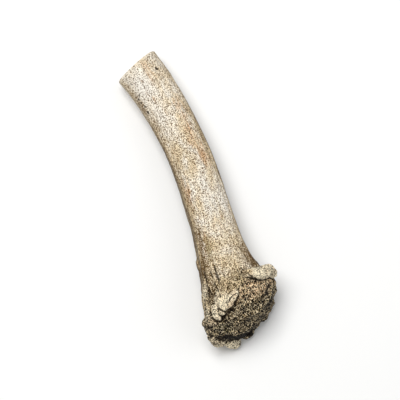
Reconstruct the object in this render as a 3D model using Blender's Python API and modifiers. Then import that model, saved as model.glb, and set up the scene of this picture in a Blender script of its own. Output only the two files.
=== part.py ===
"""A shed fallow deer antler, its burr and lower beam, sawn off above and lying on its side.

One grown piece of bone, so one solid. A lofted core gives the curved beam, the flare and the
domed seal. Lobes set round the rim make the burr. A voxel remesh grows them together, and one saw
cut leaves the flat upper end.

Metres, +Z up. +Y runs from the burr to the sawn end, and the antler rests on the XY plane.
"""

import math
import random

import bmesh
import bpy
from mathutils import Matrix, Vector, noise

MM = 0.001
SEED = 41

BONE_COLOUR = (0.55, 0.46, 0.34, 1.0)
BONE_ROUGHNESS = 0.6

# Where the grown form is set down, so that its box is centred over the origin and it rests at 0.
SET_DOWN = Vector((2.7, -4.8, -0.46))

# The core's sections, from past the saw cut down to the burr. Each holds its middle (x, y, z), its
# half width, its half depth, its turn about Z and how far it leans back towards the sawn end,
# in millimetres and degrees.
SECTIONS = (
    (-7.0, 117.0, 13.6, 16.2, 14.2, 20.0, 5.0),
    (-2.4, 101.5, 14.8, 15.9, 14.1, 14.5, 5.0),
    (2.4, 78.4, 16.6, 15.3, 13.9, 10.0, 5.0),
    (5.2, 48.7, 19.0, 14.7, 13.6, 2.5, 5.0),
    (4.9, 21.4, 21.2, 14.6, 13.6, -4.5, 4.5),
    (2.4, -4.6, 23.0, 14.7, 13.7, -5.5, 4.0),
    (0.5, -21.7, 24.0, 15.2, 14.2, -6.0, 4.0),
    (-1.6, -38.6, 24.8, 16.9, 15.5, -4.0, 6.0),
    (-3.2, -55.0, 25.2, 20.1, 18.4, 5.0, 13.0),
    (-2.4, -77.4, 25.6, 27.0, 23.0, 24.0, 24.0),
)
CORE_RINGS = 190
AROUND = 132

# The seal, where the antler left the skull: a rough dome set just inside the burr.
SEAL_HEIGHT = 11.0
SEAL_SHARE = 0.95
SEAL_RINGS = 26
SEAL_ROUGH = 1.1
SEAL_GRAIN = 5.0
# A fold crosses the dome between two places, given in shares of its half width and depth. It
# stands up on its lower side and sinks in on its upper side.
FOLD_ENDS = ((-0.30, 0.42), (0.62, 0.08))
FOLD_HEIGHT = 1.3
FOLD_WIDTH = 0.10

# Gutters that blood vessels left along the beam. Each holds where it lies around the beam, where
# it starts and ends as a share of the core's length, its depth and its half width in degrees.
GUTTERS = (
    (113.0, 0.80, 0.99, 1.0, 4.5),
    (124.0, 0.84, 0.99, 0.8, 4.0),
    (143.0, 0.78, 0.98, 0.7, 5.0),
    (74.0, 0.72, 0.97, 0.6, 6.0),
    (38.0, 0.70, 0.96, 0.6, 6.0),
    (165.0, 0.66, 0.97, 0.7, 6.0),
)
GUTTER_ENDS = 0.7

# Shallow gutters spread round the whole beam: how many, how far each may stray from even spacing,
# and the ranges of their starts, lengths, depths and half widths.
MORE_GUTTERS = 13
MORE_STRAY = 0.3
MORE_START = (0.0, 0.45)
MORE_LENGTH = (0.3, 0.55)
MORE_DEPTH = (0.25, 0.5)
MORE_HALF_WIDTH = (4.0, 8.0)

# The beam's long low waves.
WAVE_HEIGHT = 0.35
WAVE_LENGTH = 17.0

# The rim bulges and falls back on the left, is worn low on top, and swells underneath where it
# takes the weight. Each row holds a place around the rim, its half width in degrees, how far out
# and how far past the rim it goes, and the share of the core's length where it starts.
SWELLS = (
    (172.0, 36.0, 2.0, -4.2, 0.86),
    (70.0, 20.0, -0.9, -0.6, 0.90),
    (232.0, 20.0, 1.8, -0.4, 0.86),
)

# The burr's lobes, in groups that each grow as one ridge or one knob. Each row holds its place
# around the rim (0 right, 90 up, 180 left, 270 down), how far out it stands as a share of the rim,
# how far it stands past the rim towards the seal, and its half sizes along the rim, outwards and
# through it.
LOBES = {
    "thick roll": (
        (4.0, 1.04, -0.4, 3.2, 2.8, 3.4),
        (12.0, 1.07, -0.2, 4.4, 4.0, 4.2),
        (22.0, 1.06, -0.6, 4.8, 4.4, 4.4),
        (33.0, 1.03, 0.4, 5.0, 4.2, 4.8),
        (43.0, 1.04, 0.4, 4.4, 3.8, 4.4),
        (53.0, 1.09, -1.8, 3.6, 3.4, 3.4),
        (62.0, 1.14, -4.2, 2.6, 3.0, 2.8),
    ),
    # The pale ridge on top, past a stretch where the rim is worn away, and its shoulder.
    "top ridge": (
        (90.0, 0.96, 1.2, 2.4, 1.8, 2.6),
        (97.0, 0.99, 1.8, 3.0, 2.2, 2.8),
        (106.0, 1.01, 1.8, 3.4, 3.0, 3.4),
        (115.0, 1.03, 1.0, 2.6, 2.6, 3.0),
    ),
    "shoulder": (
        (101.0, 0.96, -6.4, 3.4, 2.4, 4.6),
        (111.0, 0.99, -4.0, 3.4, 3.0, 4.8),
    ),
    "pink knob": ((121.0, 1.04, 1.8, 1.9, 2.6, 3.0),),
    "low knob": (
        (122.0, 1.05, -3.6, 2.0, 2.2, 2.6),
        (127.0, 1.05, -1.8, 1.9, 2.4, 2.8),
        (131.0, 1.04, 0.6, 2.0, 2.8, 3.4),
    ),
    "fold": ((145.0, 1.0, -3.0, 3.6, 2.8, 4.4),),
    # The left end, set back along the beam.
    "left end": (
        (160.0, 0.95, -6.4, 3.8, 2.8, 4.6),
        (176.0, 0.91, -8.8, 4.4, 2.8, 4.6),
        (188.0, 0.96, -5.6, 4.4, 3.2, 4.4),
    ),
    # The lobes underneath, which it rests on.
    "left foot": (
        (192.0, 1.04, -3.4, 4.4, 3.8, 4.4),
        (204.0, 1.08, -2.0, 5.2, 4.4, 4.6),
    ),
    "right foot": (
        (225.0, 1.09, 0.4, 4.2, 4.8, 4.4),
        (233.0, 1.17, 0.6, 4.2, 5.2, 4.8),
    ),
    # The right side, under the dome.
    "right side": (
        (250.0, 1.04, 2.2, 4.2, 3.8, 4.0),
        (261.0, 0.99, 2.2, 4.0, 3.2, 4.0),
        (274.0, 0.99, 1.4, 4.6, 3.4, 4.4),
        (289.0, 1.04, 1.0, 5.0, 4.3, 4.5),
        (303.0, 0.99, 0.8, 4.6, 3.6, 4.4),
        (315.0, 0.95, 0.6, 4.4, 3.0, 4.2),
        (328.0, 0.93, 0.4, 4.4, 2.8, 4.2),
        (339.0, 0.92, 0.2, 4.0, 2.8, 4.2),
        (349.0, 0.95, 0.0, 3.8, 2.8, 4.0),
    ),
}
# How many lumps each row of a ridge is spread over, up to the next row.
RIDGE_STEPS = 3

# Small lumps over the burr, which fade in along the flare between two distances from the rim.
LUMP_HEIGHT = 0.8
LUMP_LENGTH = 4.2
LUMPS_FROM, LUMPS_FULL = -20.0, -7.0

# One low knob on the flare's left side: its middle and its half sizes.
KNOB_PLACE = Vector((-17.6, -43.0, 24.0))
KNOB_SIZE = (2.6, 7.0, 4.5)

# The saw cut: a point on it, the way its face looks, and the half sizes of the flat face that its
# worn edge leaves. The block that stands for the saw flares back from that face.
SAW_POINT = Vector((-3.0, 102.9, 14.8))
SAW_TURN = 19.5
SAW_LIFT = 7.5
SAW_HALF_WIDTH = 15.0
SAW_HALF_DEPTH = 13.6
SAW_REACH = 300.0
SAW_SIDES = 72

# How finely the lumps are made and grown together, and the share of the faces that is kept.
BALL_SUBDIVISIONS = 3
VOXEL = 0.8
KEEP_SHARE = 0.09


def between(rows, place):
    """A smooth curve through rows of values, read at place, which counts the rows."""
    last = len(rows) - 1
    row = min(int(place), last - 1)
    t = place - row
    before, start = rows[max(row - 1, 0)], rows[row]
    end, after = rows[row + 1], rows[min(row + 2, last)]
    return [
        0.5 * (2 * b + (c - a) * t + (2 * a - 5 * b + 4 * c - d) * t * t
               + (3 * b - a - 3 * c + d) * t * t * t)
        for a, b, c, d in zip(before, start, end, after)
    ]


def section(share):
    """The middle of the core and its two half axes, at a share of its length."""
    x, y, z, half_width, half_depth, turn, lean = between(SECTIONS, share * (len(SECTIONS) - 1))
    turn, lean = math.radians(turn), math.radians(lean)
    across = Vector((math.cos(turn), math.sin(turn), 0))
    upward = Vector((-math.sin(turn) * math.sin(lean), math.cos(turn) * math.sin(lean),
                     math.cos(lean)))
    return Vector((x, y, z)), across * half_width, upward * half_depth


def outlook():
    """The way the seal faces."""
    _, across, upward = section(1.0)
    return across.cross(upward).normalized()


def all_gutters():
    """The gutters that show, and shallow ones spread round the whole beam."""
    draw = random.Random(SEED)
    gutters = list(GUTTERS)
    for i in range(MORE_GUTTERS):
        start = draw.uniform(*MORE_START)
        gutters.append((
            360.0 * (i + draw.uniform(-MORE_STRAY, MORE_STRAY)) / MORE_GUTTERS,
            start,
            start + draw.uniform(*MORE_LENGTH),
            draw.uniform(*MORE_DEPTH),
            draw.uniform(*MORE_HALF_WIDTH),
        ))
    return gutters


def degrees_apart(degrees, place):
    """How far one place round the antler is from another, from -180 to 180."""
    return (degrees - place + 180.0) % 360.0 - 180.0


def rough(point, length):
    """Rough noise about 0, with lumps of a given length and others half as long."""
    return noise.fractal(point / length, 1.0, 2.0, 2)


def gutter_depth(gutters, share, degrees):
    """How deep all gutters together lie at one place."""
    depth = 0.0
    for place, start, end, deep, half_width in gutters:
        if start < share < end:
            away = degrees_apart(degrees, place)
            fade = math.sin(math.pi * (share - start) / (end - start)) ** GUTTER_ENDS
            depth += deep * fade * math.exp(-(away / half_width) ** 2)
    return depth


def swelled(share, degrees):
    """How far out and how far past the rim the flare bulges at one place."""
    out, past = 0.0, 0.0
    for place, half_width, far_out, far_past, start in SWELLS:
        if share > start:
            away = degrees_apart(degrees, place)
            grown = (share - start) / (1.0 - start)
            weight = grown * grown * (3.0 - 2.0 * grown) * math.exp(-(away / half_width) ** 2)
            out += far_out * weight
            past += far_past * weight
    return out, past


def core_ring(gutters, share):
    """One ring of points round the core, at a share of its length."""
    middle, across, upward = section(share)
    ring = []
    for k in range(AROUND):
        degrees = 360.0 * k / AROUND
        angle = math.radians(degrees)
        spoke = across * math.cos(angle) + upward * math.sin(angle)
        out, past = swelled(share, degrees)
        out += WAVE_HEIGHT * noise.noise((middle + spoke) / WAVE_LENGTH)
        out -= gutter_depth(gutters, share, degrees)
        ring.append(middle + spoke + spoke.normalized() * out + outlook() * past)
    return ring


def fold_rise(east, north):
    """How high the seal's fold stands, at a place in shares of its half width and depth."""
    start, end = Vector(FOLD_ENDS[0]), Vector(FOLD_ENDS[1])
    run = end - start
    offset = Vector((east, north)) - start
    past_ends = max(-offset.dot(run), offset.dot(run) - run.dot(run), 0.0) / run.length
    across = (offset.y * run.x - offset.x * run.y) / run.length / FOLD_WIDTH
    fade = math.exp(-(past_ends / FOLD_WIDTH) ** 2)
    return -FOLD_HEIGHT * across * math.exp(0.5 - 0.5 * across * across) * fade


def seal_ring(rim, lift):
    """One ring over the rough dome, lifted by an angle from the rim, which is a ring of points."""
    middle = section(1.0)[0]
    reach = SEAL_SHARE * math.cos(lift)
    ring = []
    for k, point in enumerate(rim):
        angle = 2 * math.pi * k / AROUND
        height = SEAL_HEIGHT + fold_rise(reach * math.cos(angle), reach * math.sin(angle))
        low = middle + (point - middle) * reach
        height += SEAL_ROUGH * rough(low, SEAL_GRAIN)
        ring.append(low + outlook() * height * math.sin(lift))
    return ring


def add_core(mesh):
    """The loft: sections unlike each other, so its faces are laid ring by ring."""
    gutters = all_gutters()
    rings = [core_ring(gutters, i / CORE_RINGS) for i in range(CORE_RINGS + 1)]
    rim = rings[-1]
    rings += [seal_ring(rim, math.pi / 2 * i / SEAL_RINGS) for i in range(1, SEAL_RINGS)]
    rings = [[mesh.verts.new(point * MM) for point in ring] for ring in rings]
    for ring, following in zip(rings, rings[1:]):
        for k in range(AROUND):
            after = (k + 1) % AROUND
            mesh.faces.new((ring[k], ring[after], following[after], following[k]))
    mesh.faces.new(reversed(rings[0]))
    mesh.faces.new(rings[-1])


def add_ellipsoid(mesh, middle, axes, sizes):
    """One rounded lump, with its half sizes along three axes."""
    turned = Matrix(axes).transposed().to_4x4()
    place = Matrix.Translation(middle * MM) @ turned @ Matrix.Diagonal((*sizes, 1.0))
    bmesh.ops.create_icosphere(mesh, subdivisions=BALL_SUBDIVISIONS, radius=MM, matrix=place)


def ridge(rows):
    """A group's rows, with more of them on the smooth curve between each two."""
    if len(rows) == 1:
        return rows
    first = rows[0][0]
    rows = [(first + degrees_apart(degrees, first), *rest) for degrees, *rest in rows]
    return [between(rows, k / RIDGE_STEPS) for k in range(RIDGE_STEPS * (len(rows) - 1) + 1)]


def add_lobe(mesh, degrees, share, past, sizes):
    """One lobe of the burr, turned to lie along the rim."""
    middle, across, upward = section(1.0)
    angle = math.radians(degrees)
    spoke = across * math.cos(angle) + upward * math.sin(angle)
    along = (upward * math.cos(angle) - across * math.sin(angle)).normalized()
    through = outlook()
    outward = along.cross(through).normalized()
    add_ellipsoid(mesh, middle + spoke * share + through * past, (along, outward, through), sizes)


def add_knob(mesh):
    """The low knob on the flare."""
    axes = (Vector((1, 0, 0)), Vector((0, 1, 0)), Vector((0, 0, 1)))
    add_ellipsoid(mesh, KNOB_PLACE, axes, KNOB_SIZE)


def roughen(skin):
    """Small lumps over the burr and the end of the flare."""
    middle = section(1.0)[0]
    skin.normal_update()
    for vert in skin.verts:
        point = vert.co / MM
        past = (point - middle).dot(outlook())
        weight = min(max((past - LUMPS_FROM) / (LUMPS_FULL - LUMPS_FROM), 0.0), 1.0)
        if weight:
            vert.co += vert.normal * (LUMP_HEIGHT * weight * rough(point, LUMP_LENGTH) * MM)


def new_object(name, mesh, collection):
    """An object made from a bmesh, which is freed."""
    data = bpy.data.meshes.new(name)
    mesh.to_mesh(data)
    mesh.free()
    made = bpy.data.objects.new(name, data)
    collection.objects.link(made)
    return made


def new_collection(name):
    """A collection in the scene."""
    made = bpy.data.collections.new(name)
    bpy.context.scene.collection.children.link(made)
    return made


def make_bone():
    """Old weathered antler, warm grey cream."""
    bone = bpy.data.materials.new("weathered antler")
    bone.use_nodes = True
    shader = bone.node_tree.nodes["Principled BSDF"]
    shader.inputs["Base Color"].default_value = BONE_COLOUR
    shader.inputs["Roughness"].default_value = BONE_ROUGHNESS
    shader.inputs["Metallic"].default_value = 0.0
    bone.diffuse_color = BONE_COLOUR
    return bone


def make_saw(collection):
    """What the saw leaves: a flared block whose small end is the cut, with the edge worn off."""
    mesh = bmesh.new()
    bmesh.ops.create_cone(mesh, cap_ends=True, segments=SAW_SIDES,
                          radius1=SAW_HALF_WIDTH + SAW_REACH, radius2=SAW_HALF_WIDTH,
                          depth=SAW_REACH, matrix=Matrix.Translation((0, 0, -SAW_REACH / 2)))
    bmesh.ops.scale(mesh, vec=(MM, MM * SAW_HALF_DEPTH / SAW_HALF_WIDTH, MM), verts=mesh.verts)
    saw = new_object("saw block", mesh, collection)
    turn = Matrix.Rotation(math.radians(SAW_TURN), 4, "Z")
    lie = Matrix.Rotation(math.radians(SAW_LIFT - 90.0), 4, "X")
    saw.matrix_world = Matrix.Translation((SAW_POINT + SET_DOWN) * MM) @ turn @ lie
    saw.hide_render = True
    saw.display_type = "WIRE"
    return saw


def grown_together(mesh):
    """The lumps of a bmesh as one skin, made by a voxel remesh, with any crumbs dropped."""
    loose = new_object("loose lumps", mesh, bpy.context.scene.collection)
    remesh = loose.modifiers.new("grown together", "REMESH")
    remesh.mode = "VOXEL"
    remesh.voxel_size = VOXEL * MM
    skin = bmesh.new()
    skin.from_object(loose, bpy.context.evaluated_depsgraph_get())
    bpy.data.objects.remove(loose)
    biggest = set()
    waiting = set(skin.verts)
    while waiting:
        island = {waiting.pop()}
        edge = set(island)
        while edge:
            edge = {e.other_vert(v) for v in edge for e in v.link_edges} - island
            island |= edge
        waiting -= island
        biggest = max(biggest, island, key=len)
    crumbs = [vert for vert in skin.verts if vert not in biggest]
    bmesh.ops.delete(skin, geom=crumbs, context="VERTS")
    return skin


def make_antler(collection, saw):
    """The whole antler, grown together and cut."""
    mesh = bmesh.new()
    add_core(mesh)
    for rows in LOBES.values():
        for degrees, share, past, *sizes in ridge(rows):
            add_lobe(mesh, degrees, share, past, sizes)
    add_knob(mesh)
    bmesh.ops.recalc_face_normals(mesh, faces=mesh.faces[:])
    skin = grown_together(mesh)
    roughen(skin)
    antler = new_object("antler", skin, collection)
    antler.location = SET_DOWN * MM
    antler.data.materials.append(make_bone())
    decimate = antler.modifiers.new("facets", "DECIMATE")
    decimate.ratio = KEEP_SHARE
    cut = antler.modifiers.new("saw cut", "BOOLEAN")
    cut.operation = "INTERSECT"
    cut.solver = "EXACT"
    cut.object = saw
    return antler


def main():
    for old in list(bpy.data.objects):
        bpy.data.objects.remove(old)
    saw = make_saw(new_collection("cutters"))
    make_antler(new_collection("fallow deer antler"), saw)


main()
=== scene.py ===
# %% [markdown]
# A shed fallow deer antler.
#
# An antler is bone that a buck grows in one summer and casts off in spring. This is the lowest
# stretch of one: the beam, sawn off above, the burr, which is the lumpy rim at its foot, and the
# seal, the rough dome that parted from the skull. The real thing is one piece of bone, so it is
# one mesh here too, grown from a few driving sizes.
#
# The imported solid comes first. It fixes where the antler lies and how big it may be.

# %% Load the frame
import math
import random

import bmesh
import bpy
import numpy as np
from mathutils import Matrix, Vector, noise
from mathutils.kdtree import KDTree


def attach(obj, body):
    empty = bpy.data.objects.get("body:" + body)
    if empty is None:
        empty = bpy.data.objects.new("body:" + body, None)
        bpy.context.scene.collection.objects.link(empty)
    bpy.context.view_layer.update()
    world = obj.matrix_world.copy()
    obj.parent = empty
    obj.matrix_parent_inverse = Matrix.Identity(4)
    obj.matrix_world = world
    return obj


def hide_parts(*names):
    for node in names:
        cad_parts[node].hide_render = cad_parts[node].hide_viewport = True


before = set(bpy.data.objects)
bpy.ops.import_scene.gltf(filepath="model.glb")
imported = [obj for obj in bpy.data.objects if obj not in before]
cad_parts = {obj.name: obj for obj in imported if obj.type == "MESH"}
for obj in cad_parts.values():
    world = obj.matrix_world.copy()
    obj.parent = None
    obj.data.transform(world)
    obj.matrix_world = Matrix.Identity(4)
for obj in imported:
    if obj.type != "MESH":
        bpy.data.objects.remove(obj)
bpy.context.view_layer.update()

# %% [markdown]
# The beam and the flare.
#
# A tube with one thickness can't make an antler: the beam is an oval that turns as it bends, and
# it opens out towards the burr. A curve with a bevel would keep its shape along the whole run. So
# the core is a loft. Ten sections hold the oval's middle, its half sizes and how it is turned, and
# a smooth curve through each of those values gives every ring in between. All sizes are in
# millimetres and degrees.

# %% Driving sizes of the core
MM = 0.001
SEED = 41
SET_DOWN = Vector((2.7, -4.8, -0.46))
SECTIONS = (
    # Middle x, y, z, half width, half depth, turn about Z, lean back.
    (-7, 117, 13.6, 16.2, 14.2, 20, 5),
    (-2.4, 101.5, 14.8, 15.9, 14.1, 14.5, 5),
    (2.4, 78.4, 16.6, 15.3, 13.9, 10, 5),
    (5.2, 48.7, 19, 14.7, 13.6, 2.5, 5),
    (4.9, 21.4, 21.2, 14.6, 13.6, -4.5, 4.5),
    (2.4, -4.6, 23, 14.7, 13.7, -5.5, 4),
    (0.5, -21.7, 24, 15.2, 14.2, -6, 4),
    (-1.6, -38.6, 24.8, 16.9, 15.5, -4, 6),
    (-3.2, -55, 25.2, 20.1, 18.4, 5, 13),
    (-2.4, -77.4, 25.6, 27, 23, 24, 24),
)


def between(rows, place):
    """A smooth curve through rows of values, read at place, which counts the rows."""
    last = len(rows) - 1
    row = min(int(place), last - 1)
    t = place - row
    before, start = rows[max(row - 1, 0)], rows[row]
    end, after = rows[row + 1], rows[min(row + 2, last)]
    return [
        0.5 * (2 * b + (c - a) * t + (2 * a - 5 * b + 4 * c - d) * t * t
               + (3 * b - a - 3 * c + d) * t * t * t)
        for a, b, c, d in zip(before, start, end, after)
    ]


def section(share):
    """The middle of the core and its two half axes, at a share of its length."""
    x, y, z, half_width, half_depth, turn, lean = between(SECTIONS, share * (len(SECTIONS) - 1))
    turn, lean = math.radians(turn), math.radians(lean)
    across = Vector((math.cos(turn), math.sin(turn), 0))
    upward = Vector((-math.sin(turn) * math.sin(lean), math.cos(turn) * math.sin(lean),
                     math.cos(lean)))
    return Vector((x, y, z)), across * half_width, upward * half_depth


RIM_MIDDLE, RIM_ACROSS, RIM_UPWARD = section(1.0)
OUTLOOK = RIM_ACROSS.cross(RIM_UPWARD).normalized()
print("the seal looks along", np.round(OUTLOOK, 3))

# %% [markdown]
# Gutters and swellings.
#
# While an antler grows, blood runs to it through vessels in its velvet, and each leaves a gutter
# in the bone. They are shallow on the beam and deep where it flares. A painted line would vanish
# at the outline, so they are cut into the loft's rings: each gutter is a soft notch at one place
# around the oval, fading in and out along the length. Those that show are listed, and shallow ones
# are spread round the whole beam. The rim's swellings are made in the same way.

# %% Gutters and swellings of the core
GUTTERS = (
    # Place around, start and end as shares of the length, depth, half width in degrees.
    (113, 0.8, 0.99, 1, 4.5),
    (124, 0.84, 0.99, 0.8, 4),
    (143, 0.78, 0.98, 0.7, 5),
    (74, 0.72, 0.97, 0.6, 6),
    (38, 0.7, 0.96, 0.6, 6),
    (165, 0.66, 0.97, 0.7, 6),
)
GUTTER_ENDS = 0.7
MORE_GUTTERS = 13
MORE_STRAY = 0.3
MORE_START = (0, 0.45)
MORE_LENGTH = (0.3, 0.55)
MORE_DEPTH = (0.25, 0.5)
MORE_HALF_WIDTH = (4, 8)
SWELLS = (
    # Place around the rim, half width in degrees, how far out, how far past the rim, start.
    (172, 36, 2, -4.2, 0.86),
    (70, 20, -0.9, -0.6, 0.9),
    (232, 20, 1.8, -0.4, 0.86),
)


def degrees_apart(degrees, place):
    """How far one place round the antler is from another, from -180 to 180."""
    return (degrees - place + 180) % 360 - 180


def gutter_depth(share, degrees):
    """How deep all gutters together lie at one place."""
    depth = 0
    for place, start, end, deep, half_width in gutters:
        if start < share < end:
            away = degrees_apart(degrees, place)
            ends = math.sin(math.pi * (share - start) / (end - start)) ** GUTTER_ENDS
            depth += deep * ends * math.exp(-(away / half_width) ** 2)
    return depth


def swelled(share, degrees):
    """How far out and how far past the rim the flare bulges at one place."""
    out, past = 0, 0
    for place, half_width, far_out, far_past, start in SWELLS:
        if share > start:
            away = degrees_apart(degrees, place)
            grown = (share - start) / (1 - start)
            weight = grown * grown * (3 - 2 * grown) * math.exp(-(away / half_width) ** 2)
            out += far_out * weight
            past += far_past * weight
    return out, past


draw = random.Random(SEED)
gutters = list(GUTTERS)
for i in range(MORE_GUTTERS):
    start = draw.uniform(*MORE_START)
    gutters.append((
        360 * (i + draw.uniform(-MORE_STRAY, MORE_STRAY)) / MORE_GUTTERS,
        start,
        start + draw.uniform(*MORE_LENGTH),
        draw.uniform(*MORE_DEPTH),
        draw.uniform(*MORE_HALF_WIDTH),
    ))
print(len(gutters), "gutters round the beam")

# %% [markdown]
# The seal.
#
# The seal is where the bone was eaten away before the antler fell. It is a low dome, rough as
# coral, with one long fold across it. A half sphere could be flattened for it, but its edge has to
# meet the rim point for point, so it continues the loft: each ring is the rim drawn in towards the
# middle and lifted along the way that the seal looks.

# %% Loft the core
CORE_RINGS, AROUND = 260, 200
WAVE_HEIGHT, WAVE_LENGTH = 0.35, 17
SEAL_HEIGHT, SEAL_SHARE, SEAL_RINGS = 11, 0.95, 44
SEAL_ROUGH, SEAL_GRAIN = 1.1, 5
FOLD_ENDS = Vector((-0.3, 0.42)), Vector((0.62, 0.08))
FOLD_HEIGHT, FOLD_WIDTH = 1.3, 0.1


def rough(place):
    """Rough noise about 0 at a place that counts lumps, with others half as long."""
    return noise.fractal(place, 1.0, 2.0, 2)


def core_ring(share):
    """One ring of points round the core, at a share of its length."""
    middle, across, upward = section(share)
    ring = []
    for k in range(AROUND):
        degrees = 360 * k / AROUND
        angle = math.radians(degrees)
        spoke = across * math.cos(angle) + upward * math.sin(angle)
        out, past = swelled(share, degrees)
        out += WAVE_HEIGHT * noise.noise((middle + spoke) / WAVE_LENGTH)
        out -= gutter_depth(share, degrees)
        ring.append(middle + spoke + spoke.normalized() * out + OUTLOOK * past)
    return ring


def fold_rise(east, north):
    """How high the seal's fold stands, at a place in shares of its half width and depth."""
    start, end = FOLD_ENDS
    run = end - start
    offset = Vector((east, north)) - start
    past_ends = max(-offset.dot(run), offset.dot(run) - run.dot(run), 0.0) / run.length
    across = (offset.y * run.x - offset.x * run.y) / run.length / FOLD_WIDTH
    ends = math.exp(-(past_ends / FOLD_WIDTH) ** 2)
    return -FOLD_HEIGHT * across * math.exp(0.5 - 0.5 * across * across) * ends


def seal_ring(rim, lift):
    """One ring over the rough dome, lifted by an angle from the rim's ring of points."""
    reach = SEAL_SHARE * math.cos(lift)
    ring = []
    for k, point in enumerate(rim):
        angle = 2 * math.pi * k / AROUND
        height = SEAL_HEIGHT + fold_rise(reach * math.cos(angle), reach * math.sin(angle))
        low = RIM_MIDDLE + (point - RIM_MIDDLE) * reach
        height += SEAL_ROUGH * rough(low / SEAL_GRAIN)
        ring.append(low + OUTLOOK * height * math.sin(lift))
    return ring


rings = [core_ring(i / CORE_RINGS) for i in range(CORE_RINGS + 1)]
rim = rings[-1]
rings += [seal_ring(rim, math.pi / 2 * i / SEAL_RINGS) for i in range(1, SEAL_RINGS)]
lumps = bmesh.new()
rings = [[lumps.verts.new(point * MM) for point in ring] for ring in rings]
for ring, following in zip(rings, rings[1:]):
    for k in range(AROUND):
        after = (k + 1) % AROUND
        lumps.faces.new((ring[k], ring[after], following[after], following[k]))
lumps.faces.new(reversed(rings[0]))
lumps.faces.new(rings[-1])
print("the loft has", len(lumps.verts), "points")

# %% [markdown]
# The burr.
#
# Round the seal stands the burr, a rim of bony lobes. They could be sculpted by hand, but a list
# is easier to read and to change. Each group is one ridge or knob: a row of rounded lumps, each
# with its place round the rim and three half sizes, and more lumps on the smooth curve between
# them, so that a ridge reads as one roll. Some lobes are bare bone and some are overgrown with the
# seal's crust, so each group starts with how much crust it wears. One more knob stands on the left
# of the flare.

# %% Set the lobes round the rim
LOBES = {
    # How much crust, and the rows: degrees round the rim, share of the rim, past the rim, half
    # sizes along, outwards and through.
    "thick roll": (0, (
        (4, 1.04, -0.4, 3.2, 2.8, 3.4), (12, 1.07, -0.2, 4.4, 4, 4.2),
        (22, 1.06, -0.6, 4.8, 4.4, 4.4), (33, 1.03, 0.4, 5, 4.2, 4.8),
        (43, 1.04, 0.4, 4.4, 3.8, 4.4), (53, 1.09, -1.8, 3.6, 3.4, 3.4),
        (62, 1.14, -4.2, 2.6, 3, 2.8),
    )),
    # The pale ridge on top, past a stretch where the rim is worn away, and its shoulder.
    "top ridge": (0, (
        (90, 0.96, 1.2, 2.4, 1.8, 2.6), (97, 0.99, 1.8, 3, 2.2, 2.8),
        (106, 1.01, 1.8, 3.4, 3, 3.4), (115, 1.03, 1, 2.6, 2.6, 3),
    )),
    "shoulder": (0, (
        (101, 0.96, -6.4, 3.4, 2.4, 4.6), (111, 0.99, -4, 3.4, 3, 4.8),
    )),
    "pink knob": (0.3, ((121, 1.04, 1.8, 1.9, 2.6, 3),)),
    "low knob": (0, (
        (122, 1.05, -3.6, 2, 2.2, 2.6), (127, 1.05, -1.8, 1.9, 2.4, 2.8),
        (131, 1.04, 0.6, 2, 2.8, 3.4),
    )),
    "fold": (0.2, ((145, 1, -3, 3.6, 2.8, 4.4),)),
    # The left end, set back along the beam.
    "left end": (0.5, (
        (160, 0.95, -6.4, 3.8, 2.8, 4.6), (176, 0.91, -8.8, 4.4, 2.8, 4.6),
        (188, 0.96, -5.6, 4.4, 3.2, 4.4),
    )),
    # The lobes underneath, which it rests on.
    "left foot": (0.1, (
        (192, 1.04, -3.4, 4.4, 3.8, 4.4), (204, 1.08, -2, 5.2, 4.4, 4.6),
    )),
    "right foot": (0, (
        (225, 1.09, 0.4, 4.2, 4.8, 4.4), (233, 1.17, 0.6, 4.2, 5.2, 4.8),
    )),
    # The right side, under the dome.
    "right side": (1, (
        (250, 1.04, 2.2, 4.2, 3.8, 4), (261, 0.99, 2.2, 4, 3.2, 4),
        (274, 0.99, 1.4, 4.6, 3.4, 4.4), (289, 1.04, 1, 5, 4.3, 4.5),
        (303, 0.99, 0.8, 4.6, 3.6, 4.4), (315, 0.95, 0.6, 4.4, 3, 4.2),
        (328, 0.93, 0.4, 4.4, 2.8, 4.2), (339, 0.92, 0.2, 4, 2.8, 4.2),
        (349, 0.95, 0, 3.8, 2.8, 4),
    )),
}
RIDGE_STEPS = 3
KNOB_PLACE = Vector((-17.6, -43, 24))
KNOB_SIZE = (2.6, 7, 4.5)
BALL_SUBDIVISIONS = 3


def add_ellipsoid(mesh, middle, axes, sizes):
    """One rounded lump, with its half sizes along three axes."""
    turned = Matrix(axes).transposed().to_4x4()
    place = Matrix.Translation(middle * MM) @ turned @ Matrix.Diagonal((*sizes, 1.0))
    bmesh.ops.create_icosphere(mesh, subdivisions=BALL_SUBDIVISIONS, radius=MM, matrix=place)


def lobe_place(degrees, share, past):
    """The middle of a lobe and its axes: along the rim, outwards and through it."""
    angle = math.radians(degrees)
    spoke = RIM_ACROSS * math.cos(angle) + RIM_UPWARD * math.sin(angle)
    along = (RIM_UPWARD * math.cos(angle) - RIM_ACROSS * math.sin(angle)).normalized()
    outward = along.cross(OUTLOOK).normalized()
    return RIM_MIDDLE + spoke * share + OUTLOOK * past, (along, outward, OUTLOOK)


def ridge(rows):
    """A group's rows, with more of them on the smooth curve between each two."""
    first = rows[0][0]
    rows = [(first + degrees_apart(degrees, first), *rest) for degrees, *rest in rows]
    return [between(rows, k / RIDGE_STEPS) for k in range(RIDGE_STEPS * (len(rows) - 1) + 1)]


for _, lobes in LOBES.values():
    for degrees, share, past, *sizes in ridge(lobes):
        middle, axes = lobe_place(degrees, share, past)
        add_ellipsoid(lumps, middle, axes, sizes)
add_ellipsoid(lumps, KNOB_PLACE, Matrix.Identity(3), KNOB_SIZE)
bmesh.ops.recalc_face_normals(lumps, faces=lumps.faces[:])
print(len(LOBES), "ridges and knobs round the rim")

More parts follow.
